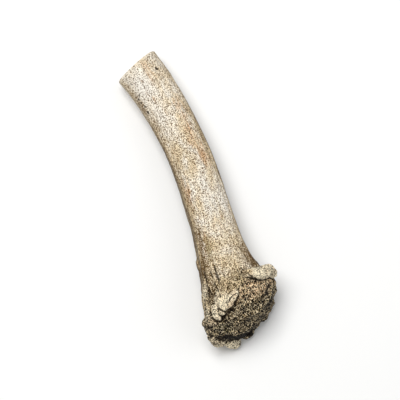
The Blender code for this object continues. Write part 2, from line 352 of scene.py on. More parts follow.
# %% [markdown]
# Growing together, and the saw cut.
#
# The loft and the lobes only overlap so far. A Boolean union could join them, but it would leave
# creases and slivers. A voxel remesh reads them as one solid and gives one even skin, which is
# also what the fine relief needs. The cut is a Boolean with a flared block, whose small flat end
# leaves both the sawn face and its worn edge. A second remesh spreads even points over that face.

# %% Grow together and cut
VOXEL = 0.58
SAW_POINT = Vector((-3.0, 102.9, 14.8))
SAW_TURN, SAW_LIFT = 19.5, 7.5
SAW_HALF_WIDTH, SAW_HALF_DEPTH = 15, 13.6
SAW_REACH, SAW_SIDES = 300, 96
SAW_LIE = (Matrix.Rotation(math.radians(SAW_TURN), 4, "Z")
           @ Matrix.Rotation(math.radians(SAW_LIFT - 90), 4, "X"))


def new_object(name, data):
    """An object in the scene."""
    made = bpy.data.objects.new(name, data)
    bpy.context.scene.collection.objects.link(made)
    return made


def from_bmesh(name, mesh):
    """An object made from a bmesh, which is freed."""
    data = bpy.data.meshes.new(name)
    mesh.to_mesh(data)
    mesh.free()
    return new_object(name, data)


def add_remesh(piece, name):
    """An even skin round everything in a piece."""
    remesh = piece.modifiers.new(name, "REMESH")
    remesh.mode = "VOXEL"
    remesh.voxel_size = VOXEL * MM


block = bmesh.new()
bmesh.ops.create_cone(block, cap_ends=True, segments=SAW_SIDES,
                      radius1=SAW_HALF_WIDTH + SAW_REACH, radius2=SAW_HALF_WIDTH,
                      depth=SAW_REACH, matrix=Matrix.Translation((0, 0, -SAW_REACH / 2)))
bmesh.ops.scale(block, vec=(MM, MM * SAW_HALF_DEPTH / SAW_HALF_WIDTH, MM), verts=block.verts)
bmesh.ops.transform(block, matrix=Matrix.Translation(SAW_POINT * MM) @ SAW_LIE, verts=block.verts)
loose, saw = from_bmesh("loose", lumps), from_bmesh("saw", block)
add_remesh(loose, "grown together")
cut = loose.modifiers.new("saw cut", "BOOLEAN")
cut.operation = "INTERSECT"
cut.solver = "EXACT"
cut.object = saw
add_remesh(loose, "even skin")
skin = bmesh.new()
skin.from_object(loose, bpy.context.evaluated_depsgraph_get())
bpy.data.objects.remove(loose)
bpy.data.objects.remove(saw)
bone = from_bmesh("antler_bone", skin)
print("one skin of", len(bone.data.vertices), "points and", len(bone.data.polygons), "faces")

# %% [markdown]
# Coordinates that follow the bone.
#
# Every mark on an antler runs along it: grooves, grain, stains, even cracks. Textures on plain
# object coordinates would run straight through the bend. So each point of the skin gets a second
# place, as if the antler were a straight rod of even thickness. Places on the burr and the seal
# are also given in shares of the rim, which tells what is dome and what is lobe.

# %% Straighten the coordinates
STATIONS = 600
GRAIN_RADIUS = 15


def read_rows(items, name):
    """What a mesh keeps under a name for each item, one row of three numbers each."""
    flat = np.empty(len(items) * 3)
    items.foreach_get(name, flat)
    return flat.reshape(-1, 3)


rows = [section(k / (STATIONS - 1)) for k in range(STATIONS)]
middles = np.array([row[0] for row in rows])
across = np.array([row[1].normalized() for row in rows])
upward = np.array([row[2].normalized() for row in rows])
onward = np.gradient(middles, axis=0)
onward /= np.linalg.norm(onward, axis=1, keepdims=True)
to_rim = np.append(np.cumsum(np.linalg.norm(np.diff(middles, axis=0), axis=1)[::-1])[::-1], 0.0)
stations = KDTree(STATIONS)
for k, middle in enumerate(middles):
    stations.insert(middle, k)
stations.balance()


def fade(values, low, high):
    """0 at low, 1 at high and smooth between. Low may be the larger of the two."""
    t = np.clip((values - low) / (high - low), 0, 1)
    return t * t * (3 - 2 * t)


points = read_rows(bone.data.vertices, "co") / MM
facing = read_rows(bone.data.vertex_normals, "vector")
near = np.array([stations.find(point)[1] for point in points])
offset = points - middles[near]
above_rim = to_rim[near] - (offset * onward[near]).sum(1)
out = np.stack([(offset * across[near]).sum(1), (offset * upward[near]).sum(1)], 1)
out *= GRAIN_RADIUS / np.linalg.norm(out, axis=1, keepdims=True)
grain = np.stack([out[:, 0], above_rim, out[:, 1]], 1)
from_rim = points - RIM_MIDDLE
past_rim = from_rim @ OUTLOOK
east = from_rim @ RIM_ACROSS / RIM_ACROSS.length_squared
north = from_rim @ RIM_UPWARD / RIM_UPWARD.length_squared
print(f"the antler runs {np.ptp(above_rim):.1f} mm along its middle line")

# %% [markdown]
# What is what.
#
# The finish differs over the skin: the dome is rough and dark, the lobes are smooth and pale, the
# sawn face is flat. Each gets a mask, a number from 0 to 1 at every point. It could be painted,
# but a mask from the same list that shaped a lobe can't drift away from the shape. A mask fades
# between two measures, and each pair below says where it is 0 and where it is 1.

# %% Masks for the dome, the lobes and the sawn face
SAW_NORMAL = SAW_LIE.to_3x3() @ Vector((0, 0, 1))
LOBE_SKIN = (1.1, 0.15)
DOME_REACH, DOME_PAST_EDGE = (1.04, 0.94), (-2.0, 0.8)
SAWN_DEPTH, SAWN_FACING = (-0.35, -0.15), (0.8, 0.95)
RIM_NEARNESS = (34, 4)


def outside(lobes):
    """How many millimetres each point is outside a group of lobes, below 0 if inside."""
    nearest = np.full(len(points), np.inf)
    for degrees, share, past, *sizes in ridge(lobes):
        middle, axes = lobe_place(degrees, share, past)
        offset = points - middle
        reached = np.linalg.norm(offset @ np.array(axes).T / sizes, axis=1)
        nearest = np.minimum(nearest, np.linalg.norm(offset, axis=1) * (1 - 1 / reached))
    return nearest


from_lobes = np.array([outside(lobes) for _, lobes in LOBES.values()])
nearest_lobe, next_lobe = np.sort(from_lobes, axis=0)[:2]
on_lobe = fade(nearest_lobe, *LOBE_SKIN)
crusted = on_lobe * np.array([crust for crust, _ in LOBES.values()])[from_lobes.argmin(0)]
round_rim = np.degrees(np.arctan2(north, east))
past_edge = past_rim - np.array([swelled(1.0, degrees)[1] for degrees in round_rim])
reach = np.hypot(east, north) / SEAL_SHARE
on_dome = fade(reach, *DOME_REACH) * fade(past_edge, *DOME_PAST_EDGE) * (1 - on_lobe)
on_dome = np.maximum(on_dome, crusted)
bare_lobe = on_lobe * (1 - crusted)
past_saw = (points - SAW_POINT) @ SAW_NORMAL
on_saw = fade(past_saw, *SAWN_DEPTH) * fade(facing @ SAW_NORMAL, *SAWN_FACING)
near_rim = fade(above_rim, *RIM_NEARNESS) * (1 - on_dome)
for name, mask in (("lobes", bare_lobe), ("dome", on_dome), ("sawn face", on_saw)):
    print(f"{name}: {(mask > 0.5).mean():.1%} of the points")

# %% [markdown]
# Ways to measure roughness.
#
# From a step away an antler reads as rough, and that has to be in the mesh: a bump map leaves the
# outline smooth. Three kinds of noise are enough. Plain noise makes lumps. Folded at 0 it makes
# sharp furrows with round backs between them. Cells make grains like those of coral. All of them
# count places in lumps, so dividing a place by a length sets the size.

# %% Kinds of noise
FURROW_SHARPNESS, BUBBLE_SHARPNESS = 2.5, 1.5


def noisy(places):
    """Rough noise about 0 at each of many places, counted in lumps."""
    return np.array([rough(Vector(place)) for place in places])


def furrowed(places):
    """0 at the bottom of sharp furrows and about 1 on the round backs between them."""
    return np.clip(FURROW_SHARPNESS * np.abs(noisy(places)), 0, 1)


def bubbly(places):
    """1 in the middle of round cells and 0 between them."""
    near = [noise.voronoi(Vector(place))[0][0] for place in places]
    return np.clip(1 - BUBBLE_SHARPNESS * np.array(near), 0, 1)


print(f"noise at the first point: {noisy(points[:1])[0]:.3f}")

# %% [markdown]
# Marks with a place of their own.
#
# Noise can't put a mark where the real antler has one. Three kinds of mark are listed, because
# they show most: crevices that have closed up again, lobes that are worn down into the flare, and
# dark cracks and gutters. A closed or worn place is a soft spot with a half length along the bone
# and a half width. A crack is a line through a few places, and its mask comes from the distance to
# that line.

# %% Places of the closed crevices, the worn lobes and the cracks
CLOSED = (
    # Place x, y, z, half length, half width, strength.
    (-22.4, -76, 44.7, 2.4, 2.4, 1.4),
    (-18.1, -70.9, 44.9, 2.6, 2.6, 1.4),
    (-15.4, -69.6, 46.7, 2.6, 2.6, 1.4),
    (-12, -68.2, 46.2, 2.6, 2.6, 1.4),
    (-8.6, -66.8, 45.8, 2.6, 2.6, 1.4),
    (-6.1, -65.7, 45.8, 2.6, 2.6, 1.4),
)
WORN = (
    # The same numbers for each.
    (6, -58.6, 47.4, 4, 4.5, 1.6),
    (-12, -63, 45, 4, 6, 0.8),
)
CRACKS = (
    # Half width, how dark, places x, y, z.
    # Under the finger and the ridge, dark partly as the shadow that they cast.
    (0.8, 1, (
        (-24.6, -72.5, 37), (-25.1, -76, 38.7), (-24.4, -79.3, 40.2), (-22.5, -81.2, 38.8),
        (-19.6, -81.7, 39.9), (-16.4, -80, 42.4), (-12.8, -78, 44.2), (-10.2, -76.8, 45.4),
        (-7.1, -74.4, 46), (-4.5, -72.4, 46.1), (-2.8, -70, 46.1),
    )),
    # Between the ridge and its shoulder.
    (0.65, 1, (
        (-13.5, -75.4, 49.5), (-10.7, -72.1, 49.4), (-8.1, -70.3, 48.8), (-5.1, -69.7, 47.7),
    )),
    # Round the dome's left edge.
    (0.8, 1, (
        (-28.4, -77.3, 38), (-29.4, -80.2, 31.9), (-30.4, -83.5, 28.7), (-30.5, -86.3, 23.5),
    )),
    # Under the roll, dark partly as the shadow that it casts.
    (0.6, 1, ((4.7, -59.1, 47.2), (6.2, -61.3, 46.3), (8.6, -64.1, 44.2))),
    # A scratch by the sawn end.
    (0.4, 0.25, ((-0.2, 95, 28.9), (0.4, 89.7, 29.3))),
    # Gutters on the flare, from the left.
    (0.6, 0.3, ((-9.7, -20.1, 34.5), (-11.4, -28.9, 35.3), (-13.9, -36.3, 35))),
    (0.5, 0.6, ((-17.9, -47.1, 34.2), (-18.7, -51.6, 35), (-19.1, -55.2, 36.5))),
    (0.55, 0.7, ((-19.5, -56.2, 36.4), (-19.5, -62.7, 39.6), (-18.5, -69.8, 44.6))),
    (0.5, 0.6, ((-14.3, -49.5, 39), (-14.2, -54.5, 40.4), (-14.5, -58, 41))),
    (0.6, 0.25, ((-10.6, -47.8, 40.2), (-11.4, -54.8, 41.4), (-11.3, -57.3, 42.4))),
    (0.5, 0.8, ((-15, -57.7, 40.6), (-14.9, -62.8, 42.3), (-14.9, -68.1, 46))),
    (0.7, 0.35, ((10.2, -41.7, 36.3), (11.1, -50.5, 36.7), (11, -56.5, 39.6))),
)


def spotted(spots):
    """How strongly soft spots from a list cover each point."""
    total = np.zeros(len(points))
    for *place, half_length, half_width, strength in spots:
        offset = points - place
        lengthwise = offset @ onward[stations.find(place)[1]]
        sideways = (offset ** 2).sum(1) - lengthwise ** 2
        spot = np.exp(-(lengthwise / half_length) ** 2 - sideways / half_width ** 2)
        total = np.maximum(total, strength * spot)
    return total


def from_line(line):
    """How many millimetres each point is from a line through some places."""
    nearest = np.full(len(points), np.inf)
    for start, end in zip(np.array(line), np.array(line[1:])):
        run = end - start
        share = np.clip((points - start) @ run / (run @ run), 0, 1)
        offset = points - start - share[:, None] * run
        nearest = np.minimum(nearest, np.linalg.norm(offset, axis=1))
    return nearest


closed, worn = np.minimum(spotted(CLOSED), 1.0), np.minimum(spotted(WORN), 1.0)
print(len(CLOSED), "closed crevices,", len(WORN), "worn lobes and", len(CRACKS), "cracks")

# %% [markdown]
# The fine relief.
#
# Each kind of roughness is a layer of height along the normals. The beam has long furrows and
# grit, the flare deeper furrows, the dome lumps and grains, and the lobes a soft grain with a few
# pits. A seam runs round each lobe, and is painted dark later, as dirt and as the shade in it. All
# layers are added up before any point moves, so none of them disturbs the next.

# %% Sizes of the relief
LUMP_HEIGHT, LUMP_LENGTH = 0.8, 4.2
LUMPS_PAST_RIM = (-20, -7)
FURROW_DEPTH, FURROW_LENGTHS = 0.28, (2.2, 24, 2.2)
FLARE_FURROW_DEPTH, FLARE_FURROW_LENGTHS = 0.6, (2.6, 15, 2.6)
FLARE_FURROWS_LEFT = (9, -6)
GRIT_HEIGHT, GRIT_LENGTHS = 0.12, (1.3, 2.6, 1.3)
FLARE_GRIT_HEIGHT = 0.35
DOME_LUMP_HEIGHT, DOME_LUMP_LENGTH = 1.1, 4.5
DOME_GRAIN_HEIGHT, DOME_GRAIN_LENGTH = 0.4, 1.4
LOBE_GRAIN_HEIGHT, LOBE_GRAIN_LENGTH = 0.35, 1.9
LOBE_PIT_DEPTH, LOBE_PIT_LENGTH = 0.35, 3.1
LOBE_PIT_EDGE = (0.45, 0.75)
SEAM_DEPTH, SEAM_AT, SEAM_HALF_WIDTH = 0.9, 0.4, 0.4
SEAM_PAST_EDGE = (-2.5, 1)
SEAM_BREAK_LENGTH, SEAM_BREAKS = 3, (-0.8, -0.2)
CREVICE_SKIN = (1.4, 0.7)
CLOSED_FILL, WORN_DEPTH = 0.5, 0.8
CRACK_DEPTH, CRACK_EDGE, CRACK_BREAKS = 0.7, (1.7, 0.6), (-0.9, -0.3)

print("the beam's furrows are", FURROW_LENGTHS[1], "mm long and", FURROW_DEPTH, "mm deep")

# %% [markdown]
# Seams and cracks.
#
# Dirt gathers where a lobe meets the dome and where two lobes meet, and shade falls there too, so
# both are painted dark. The first is a band at a small distance from each group of lobes, and the
# second is where a point is as near to one group as to another. Noise breaks both seams, because a
# seam without a gap looks drawn.

# %% Add up the relief
beam = (1 - on_dome) * (1 - on_saw) * (1 - on_lobe)
on_seam = np.exp(-((from_lobes - SEAM_AT) / SEAM_HALF_WIDTH) ** 2).max(0)
on_seam *= fade(past_edge, *SEAM_PAST_EDGE)
crevice = np.exp(-((next_lobe - nearest_lobe) / SEAM_HALF_WIDTH) ** 2)
on_seam = np.maximum(on_seam, crevice * fade(nearest_lobe, *CREVICE_SKIN))
on_seam *= fade(noisy(points / SEAM_BREAK_LENGTH), *SEAM_BREAKS) * (1 - closed)
grit = noisy(grain / GRIT_LENGTHS)
in_crack = np.zeros(len(points))
for half_width, dark, line in CRACKS:
    wide, narrow = (share * half_width for share in CRACK_EDGE)
    in_crack = np.maximum(in_crack, dark * fade(from_line(line), wide, narrow))
in_crack *= fade(grit, *CRACK_BREAKS)
in_furrow = 1 - furrowed(grain / FLARE_FURROW_LENGTHS)
in_furrow *= near_rim * beam * fade(grain[:, 0], *FLARE_FURROWS_LEFT)

height = LUMP_HEIGHT * fade(past_rim, *LUMPS_PAST_RIM) * noisy(points / LUMP_LENGTH)
height -= FURROW_DEPTH * beam * (1 - furrowed(grain / FURROW_LENGTHS))
height -= FLARE_FURROW_DEPTH * in_furrow
height += (GRIT_HEIGHT + FLARE_GRIT_HEIGHT * near_rim) * beam * grit
height -= CRACK_DEPTH * in_crack
height += DOME_LUMP_HEIGHT * on_dome * noisy(points / DOME_LUMP_LENGTH)
height += DOME_GRAIN_HEIGHT * on_dome * (bubbly(points / DOME_GRAIN_LENGTH) - 0.5)
height += LOBE_GRAIN_HEIGHT * bare_lobe * noisy(points / LOBE_GRAIN_LENGTH)
height -= LOBE_PIT_DEPTH * bare_lobe * fade(bubbly(points / LOBE_PIT_LENGTH), *LOBE_PIT_EDGE)
height -= SEAM_DEPTH * on_seam + WORN_DEPTH * worn * on_lobe
height += CLOSED_FILL * closed * crevice * on_lobe
print(f"relief from {height.min():.2f} to {height.max():.2f} mm")

# %% [markdown]
# Pits, and the sawn face.
#
# One nerve hole shows near the sawn end, as a dark dot with a sharp edge. On the sawn face itself
# the bone is dense and pale near its edge and spongy in the middle, with pores that a saw leaves
# open. Both are dents of a named size, added to the same height. Then every point moves, once.

# %% Add the nerve hole and the pores
NERVE_HOLE = Vector((8.7, 92.6, 27.1))
HOLE_EDGE = (1.65, 0.88)
HOLE_DEPTH = 1.9
CORE_EDGE = (0.7, 0.54)
CORE_WAVE, CORE_WAVE_LENGTH = 0.12, 5
PORE_DEPTH, PORE_LENGTH = 1.3, 1.7
PORE_EDGE = (0.2, 0.5)

in_hole = fade(np.linalg.norm(points - NERVE_HOLE, axis=1), *HOLE_EDGE)
height -= HOLE_DEPTH * in_hole
on_face = (points - SAW_POINT) @ np.array(SAW_LIE.to_3x3())
core_reach = np.hypot(on_face[:, 0] / SAW_HALF_WIDTH, on_face[:, 1] / SAW_HALF_DEPTH)
core_reach += CORE_WAVE * noisy(points / CORE_WAVE_LENGTH)
on_sponge = on_saw * fade(core_reach, *CORE_EDGE)
pores = on_sponge * fade(bubbly(points / PORE_LENGTH), *PORE_EDGE)
height -= PORE_DEPTH * pores

points += facing * height[:, None]
bone.data.vertices.foreach_set("co", (points * MM).ravel())
bone.data.update()
print(f"the spongy core covers {(on_sponge > 0.5).sum() / (on_saw > 0.5).sum():.0%} of the cut")

# %% [markdown]
# Hollows and crests.
#
# Soil stays in hollows, and crests are rubbed pale. The hollows are also painted darker as the
# shade that falls in them. Both can be measured: average every point with its neighbours a few
# times, and see whether the average lies above the point or below it. Few rounds find the fine
# pits, many find the crevices between lobes. Rays could be cast into them instead, but that is
# slower.

# %% Measure the hollows
FINE_ROUNDS, FINE_FULL = 4, 0.12
BROAD_ROUNDS, BROAD_FULL = 50, 1


def averaged(values, rounds):
    """Values at the points, averaged with their neighbours' a number of times."""
    links = np.bincount(here)[:, None]
    for _ in range(rounds):
        near = np.stack([np.bincount(here, column[there]) for column in values.T], 1)
        values = 0.5 * values + 0.5 * near / links
    return values


ends = np.empty(len(bone.data.edges) * 2, int)
bone.data.edges.foreach_get("vertices", ends)
here, there = np.concatenate([ends[::2], ends[1::2]]), np.concatenate([ends[1::2], ends[::2]])
side_facing = averaged(facing, FINE_ROUNDS)[:, 2]
facing = read_rows(bone.data.vertex_normals, "vector")
fine_hollow = ((averaged(points, FINE_ROUNDS) - points) * facing).sum(1) / FINE_FULL
broad_hollow = ((averaged(points, BROAD_ROUNDS) - points) * facing).sum(1) / BROAD_FULL
print(f"fine hollows up to {fine_hollow.max():.1f}, broad up to {broad_hollow.max():.1f}")

# %% [markdown]
# Stains.
#
# The bone is stained where it lay: rusty patches on the beam's right side, a yellower wash where
# fat soaked in, soil in the flare, a little moss, mud in the fold under the dome, pale places on
# the flare's left edge, and a bleached stripe along the top. Some of these also paint light and
# shade: near black painted shadow in the fold and the crevices under the dome, two painted
# highlights on lobes by the dome's left edge, and a painted highlight in the stripe along the top.
# Painting these by hand would need an image. Here each is a soft spot too, and the material breaks
# up its edge with noise.

# %% Places of the stains
STAINS = {
    # Place x, y, z, half length, half width, strength.
    "rust": (
        (3.3, 95.1, 28.8, 8, 3, 0.5), (11.7, 57.3, 30.3, 11, 3, 0.7),
        (12, 46.6, 31.1, 10, 3, 0.55), (10.6, 35.9, 32.6, 8, 5.5, 0.5),
        (12.5, 25.5, 32.5, 9, 4.5, 0.9), (-6.8, 5.4, 32.4, 8, 3, 0.8),
        (-9, -30, 37, 12, 4, 0.45), (9, -71.5, 41.5, 6, 6, 0.5),
    ),
    "fat": (
        (3, 30, 33, 24, 14, 0.45), (-12, 60, 22, 34, 5, 0.5),
    ),
    "soil": (
        (-15.5, -43, 35.5, 15, 5, 0.8), (-18, -64, 40, 12, 4.5, 0.8),
        (-11.8, -27.5, 34.6, 14, 3.5, 0.7), (15.5, -52, 34.5, 14, 7, 1.1),
        (-17, -55.7, 39.3, 12, 3.5, 0.7), (-27, -79, 38, 6, 4, 0.6),
        (-27.4, -91.5, 21.3, 4, 5, 0.8), (-10.4, 71.9, 23.3, 8, 2.4, 0.8),
        (-11.7, 80.9, 22.8, 8, 2, 0.6), (-8.4, 57, 27.3, 6, 3, 0.7),
        (23.6, -65.9, 34.6, 4, 3.4, 0.8),
    ),
    "moss": (
        (-19.6, -86.1, 33.8, 5, 6, 1.2), (-9.6, -36, 37.8, 12, 4, 0.7),
        (-0.1, -61, 43.6, 8, 6, 0.5), (1.1, -70, 44.4, 6, 3, 0.6),
        (16, -80, 26, 7, 7, 0.5),
    ),
    # Mud, and near black painted shadow in the fold, under the dome and under the roll, and a few
    # dark pits on the beam.
    "mud_and_shadow": (
        (-30.5, -79.5, 29, 6, 4, 0.6), (-30.5, -86, 24.5, 2.5, 3, 1),
        (-4.2, -92.7, 8.8, 3, 3.4, 1.2), (-0.8, -91.3, 9, 2.6, 2.6, 0.9),
        (16, -58.9, 37.2, 1.2, 1.5, 0.9), (23.4, -63, 36.4, 1.2, 1.2, 0.8),
        (-25.6, -88.8, 24.2, 3, 3, 1), (-20.7, -90.6, 24, 3, 3.4, 1.2),
        (-17.2, -92.4, 21, 4, 4.4, 1.4), (-13.4, -93.6, 18.2, 4, 4.8, 1.4),
        (-9.2, -93.7, 16.2, 4, 4.8, 1.4), (-0.5, -82.1, 36.7, 3, 1.8, 0.5),
        (2.6, -81.5, 35.8, 3, 2.2, 0.7), (5.8, -80.7, 34.8, 3, 2.2, 0.7),
        (9.1, -79.8, 33.8, 3, 2.2, 0.7), (12.2, -79.1, 32.3, 3, 2, 0.6),
        (-5.6, -77.3, 44.4, 2, 1.3, 0.8), (-4.2, -79, 42.7, 2, 1.3, 0.8),
        (-11.1, 89.4, 25, 0.8, 0.8, 0.8), (-9.3, 80.4, 25.6, 0.8, 0.7, 0.9),
        (-10.8, 78.3, 23.5, 1, 0.8, 1), (-10.4, 75.3, 23.7, 1.2, 0.7, 0.9),
        (-9.1, 71.8, 25, 1, 0.7, 0.9), (-8.6, 67.2, 25.3, 1.4, 0.8, 1),
    ),
    # Pale bone on the flare's left edge, and two painted highlights on lobes by the dome's left
    # edge.
    "pale": (
        (-22.5, -60, 33, 9, 3, 0.7), (-26.5, -72, 34.5, 6, 2.6, 1),
        (-18.3, -77.9, 47.5, 1.8, 1.8, 0.8), (-25.9, -78.4, 39.8, 2.2, 1.2, 0.8),
    ),
    # A bleached stripe along the top, partly a painted highlight.
    "bleach_and_highlight": (
        (4, -8, 37, 26, 4.6, 0.9), (14, -12, 30, 24, 7, 0.9),
        (3, 25, 34.8, 24, 4.6, 0.3), (-3, 62, 31, 22, 6, 0.6),
        (-5, 84, 28.5, 14, 8, 0.85),
    ),
}

print(sum(len(spots) for spots in STAINS.values()), "stains of", len(STAINS), "kinds")

# %% [markdown]
# What the material needs to know.
#
# A material can't see which points are lobe or dome, so the mesh keeps a number for each, as an
# attribute. The flanks, which lay in the soil, are found by the way that they face, and their
# browner colour and darker edges are partly soil and partly painted shade where the bone turns
# away from the light. Soil and shade reach higher on some stretches of each side, which is the
# same as if they leaned over a little more, and the beam's upper end has less of both. Lengths
# here are in millimetres from the rim.

# %% Keep a number for each mask
LOWNESS = (110, 10)
LEAN = 0.2
RIGHT_SIDE, RIGHT_ABOVE = (1, 13), (75, 115)
LEFT_SIDE, LEFT_ABOVE, LEFT_BELOW = (-1, -13), (4, 18), (170, 60)
CLEAN_SHARE, CLEAN_ABOVE = 0.5, (95, 165)
FLANK_FACING, EDGE_FACING = (0.78, 0.2), (0.42, 0.05)
# Where the dome faces up, it is tan and is also painted lighter as the lit side.
TAN_AND_LIT_SIDE = (0.45, 1.05)
PALE_LOBE = (1.6, 0.1)

left = fade(grain[:, 0], *LEFT_SIDE) * fade(above_rim, *LEFT_ABOVE)
left *= fade(above_rim, *LEFT_BELOW)
right = fade(grain[:, 0], *RIGHT_SIDE) * fade(above_rim, *RIGHT_ABOVE)
side_facing -= LEAN * (left + right) * (1 - on_dome)
side_soil_and_shade = (1 - CLEAN_SHARE * fade(above_rim, *CLEAN_ABOVE)) * (1 - on_saw)
kept = {
    "dome": on_dome,
    "lobe": fade(nearest_lobe, *PALE_LOBE) * (1 - crusted) * (1 - on_dome) * (1 - worn),
    # Seams, cracks and the nerve hole are later painted dark, as dirt and as the shade in them.
    "seam": np.max([on_seam, in_crack, in_hole], axis=0),
    "furrow": in_furrow, "near_rim": near_rim,
    "sawn": on_saw, "sponge": on_sponge, "pore": pores,
    "low": fade(above_rim, *LOWNESS),
    "tan_and_lit": fade(east + north, *TAN_AND_LIT_SIDE),
    "fine_hollow": np.clip(fine_hollow, -1.0, 1.0),
    "broad_hollow": np.clip(broad_hollow, -1.0, 1.0) * (1 - closed),
    "flank": fade(side_facing, *FLANK_FACING) * side_soil_and_shade,
    "edge": fade(side_facing, *EDGE_FACING) * side_soil_and_shade,
    **{name: spotted(spots) for name, spots in STAINS.items()},
}
for name, values in kept.items():
    attribute = bone.data.attributes.new(name, "FLOAT", "POINT")
    attribute.data.foreach_set("value", values.astype(np.float32))
for name, places in (("grain", grain), ("place", points)):
    attribute = bone.data.attributes.new(name, "FLOAT_VECTOR", "POINT")
    attribute.data.foreach_set("vector", places.astype(np.float32).ravel())
bone.data.transform(Matrix.Translation(SET_DOWN * MM))
bone.data.shade_smooth()
print("kept", len(kept), "numbers and 2 places for each point")

# %% [markdown]
# Shader sums in Python.
#
# A material is a graph of nodes, and a graph of a few hundred is hard to read as code. This small
# class wraps one socket, so that adding or multiplying two of them adds the Math node that does
# it. Colours go through Mix nodes instead, because a Math node would turn them grey.

# %% Wrap a socket
class Wire:
    """One value in a shader, which can be used in sums."""

    def __init__(self, tree, socket=None):
        self.tree = tree
        self.socket = socket

    def node(self, kind, settings=None, values=None, output=0):
        """Adds any node: settings first, then what its sockets hold or are linked to."""
        made = self.tree.nodes.new(kind)
        for name, value in (settings or {}).items():
            setattr(made, name, value)
        for name, value in (values or {}).items():
            if isinstance(value, Wire):
                self.tree.links.new(value.socket, made.inputs[name])
            else:
                made.inputs[name].default_value = value
        return Wire(self.tree, made.outputs[output])

    def math(self, operation, first, second):
        """One Math node."""
        return self.node("ShaderNodeMath", {"operation": operation}, {0: first, 1: second})

    def __add__(self, other):
        return self.math("ADD", self, other)

    def __mul__(self, other):
        return self.math("MULTIPLY", self, other)

    def __sub__(self, other):
        return self.math("SUBTRACT", self, other)

    def __rsub__(self, other):
        return self.math("SUBTRACT", other, self)

    __radd__, __rmul__ = __add__, __mul__

    def attribute(self, name, output="Fac"):
        """What the mesh keeps under a name."""
        return self.node("ShaderNodeAttribute", {"attribute_name": name}, output=output)

    def ramp(self, low, high):
        """0 at low, 1 at high and smooth between."""
        return self.node("ShaderNodeMapRange", {"interpolation_type": "SMOOTHSTEP"},
                         {"Value": self, "From Min": low, "From Max": high})

    def scaled(self, lengths):
        """A place divided by a length along each axis, so that it counts lumps."""
        return self.node("ShaderNodeVectorMath", {"operation": "DIVIDE"}, {0: self, 1: lengths})

    def noise(self, detail, roughness):
        """Noise from 0 to 1 at this place."""
        return self.node("ShaderNodeTexNoise", {},
                         {"Vector": self, "Scale": 1.0, "Detail": detail, "Roughness": roughness})

    def cells(self):
        """Small cells at this place, each with its own number from 0 to 1."""
        return self.node("ShaderNodeTexVoronoi", {}, {"Vector": self, "Scale": 1.0}, "Color")

    def blend(self, under, over):
        """A colour that goes from under to over as this goes from 0 to 1."""
        return self.node("ShaderNodeMix", {"data_type": "RGBA"}, {0: self, 6: under, 7: over}, 2)


def tint(red, green, blue):
    """A colour given as on a screen, from 0 to 255, as the light that a shader works with."""
    shares = [value / 255.0 for value in (red, green, blue)]
    light = [v / 12.92 if v <= 0.04045 else ((v + 0.055) / 1.055) ** 2.4 for v in shares]
    return (*light, 1.0)


print("middle grey as light:", np.round(tint(128, 128, 128), 3))

# %% [markdown]
# The bone's finish.
#
# Seen close, the colour of old antler is made of layers: cream bone, buff where fat and weather
# went in, fine brown pores in rows, rust and soil in patches, and near black dirt at the bottom of
# the crevices, which also stands for the shade there. The material lays them one over the other in
# that order. Some layers paint light and shade as well: a paler top, browner flanks and darker
# edges where the bone turns away, a lighter upper side on the dome, a few highlights on lobes, and
# near black shadow in the fold under the dome. A photograph could be wrapped round it instead, but
# it would show only one side, and a light that is fixed.

# %% Colours of the finish
CREAM = tint(254, 246, 230)
BUFF = tint(244, 226, 194)
BLEACHED_AND_HIGHLIT = tint(246, 240, 228)
LOW_BUFF = tint(234, 214, 176)
FLARE_BUFF = tint(230, 206, 162)
RUST = tint(228, 188, 148)
FLANK_SOIL_AND_SHADE = tint(206, 184, 146)
EDGE_SOIL_AND_SHADE = tint(108, 100, 86)
PORE_BROWN = tint(98, 72, 36)
PIT_DARK = tint(22, 14, 5)
SOIL = tint(140, 114, 76)
MOSS = tint(146, 138, 92)
MUD_AND_SHADOW = tint(16, 10, 7)
DIRT_AND_SHADE = tint(34, 22, 10)
DOME_BROWN = tint(172, 145, 100)
DOME_TAN_AND_LIT = tint(230, 194, 150)
LOBE_CREAM = tint(255, 242, 212)
LOBE_PINK = tint(242, 217, 182)
SPONGE = tint(160, 128, 92)
GLINT = tint(255, 236, 198)

print("cream as light:", np.round(CREAM, 3))

# %% [markdown]
# Noise for the finish.
#
# The real grain is of many sizes, and one noise alone would look printed, so there are several.
# Soft clouds break up the edges of the stains, and stripes and streaks run along the grain. Flecks
# make the granules: fine noise mixed with small cells, which give each granule a tone of its own.
# On the flanks the flecks are drawn out into dashes, and on the dome they gather in veins. High
# flecks become pores and low ones glints.

# %% Read the mesh and add the noise
NOISES = {
    # Which places, lengths in millimetres, detail, roughness.
    "soft": ("grain", (7, 13, 7), 4, 0.6),
    "stripes": ("grain", (1.2, 7, 1.2), 2, 0.5),
    "streaks": ("grain", (2.4, 12, 2.4), 2, 0.5),
    "dashes": ("grain", (0.6, 2.4, 0.6), 1, 0.5),
    "fine": ("place", (0.52, 0.65, 0.52), 0.3, 0.5),
    "veins": ("place", (5, 1.3, 1.3), 1, 0.5),
}
CELL_LENGTHS = (0.5, 0.5, 0.5)
CELL_SHARE, ROUGH_CELL_SHARE, DASH_SHARE = 0.25, 0.45, 0.5
VEIN_SHARE, VEIN_EDGE = 0.07, (0.4, 0.6)
RIM_ROUGH, RIM_CLEAN, LOBE_CLEAN = 0.7, 0.9, 0.6

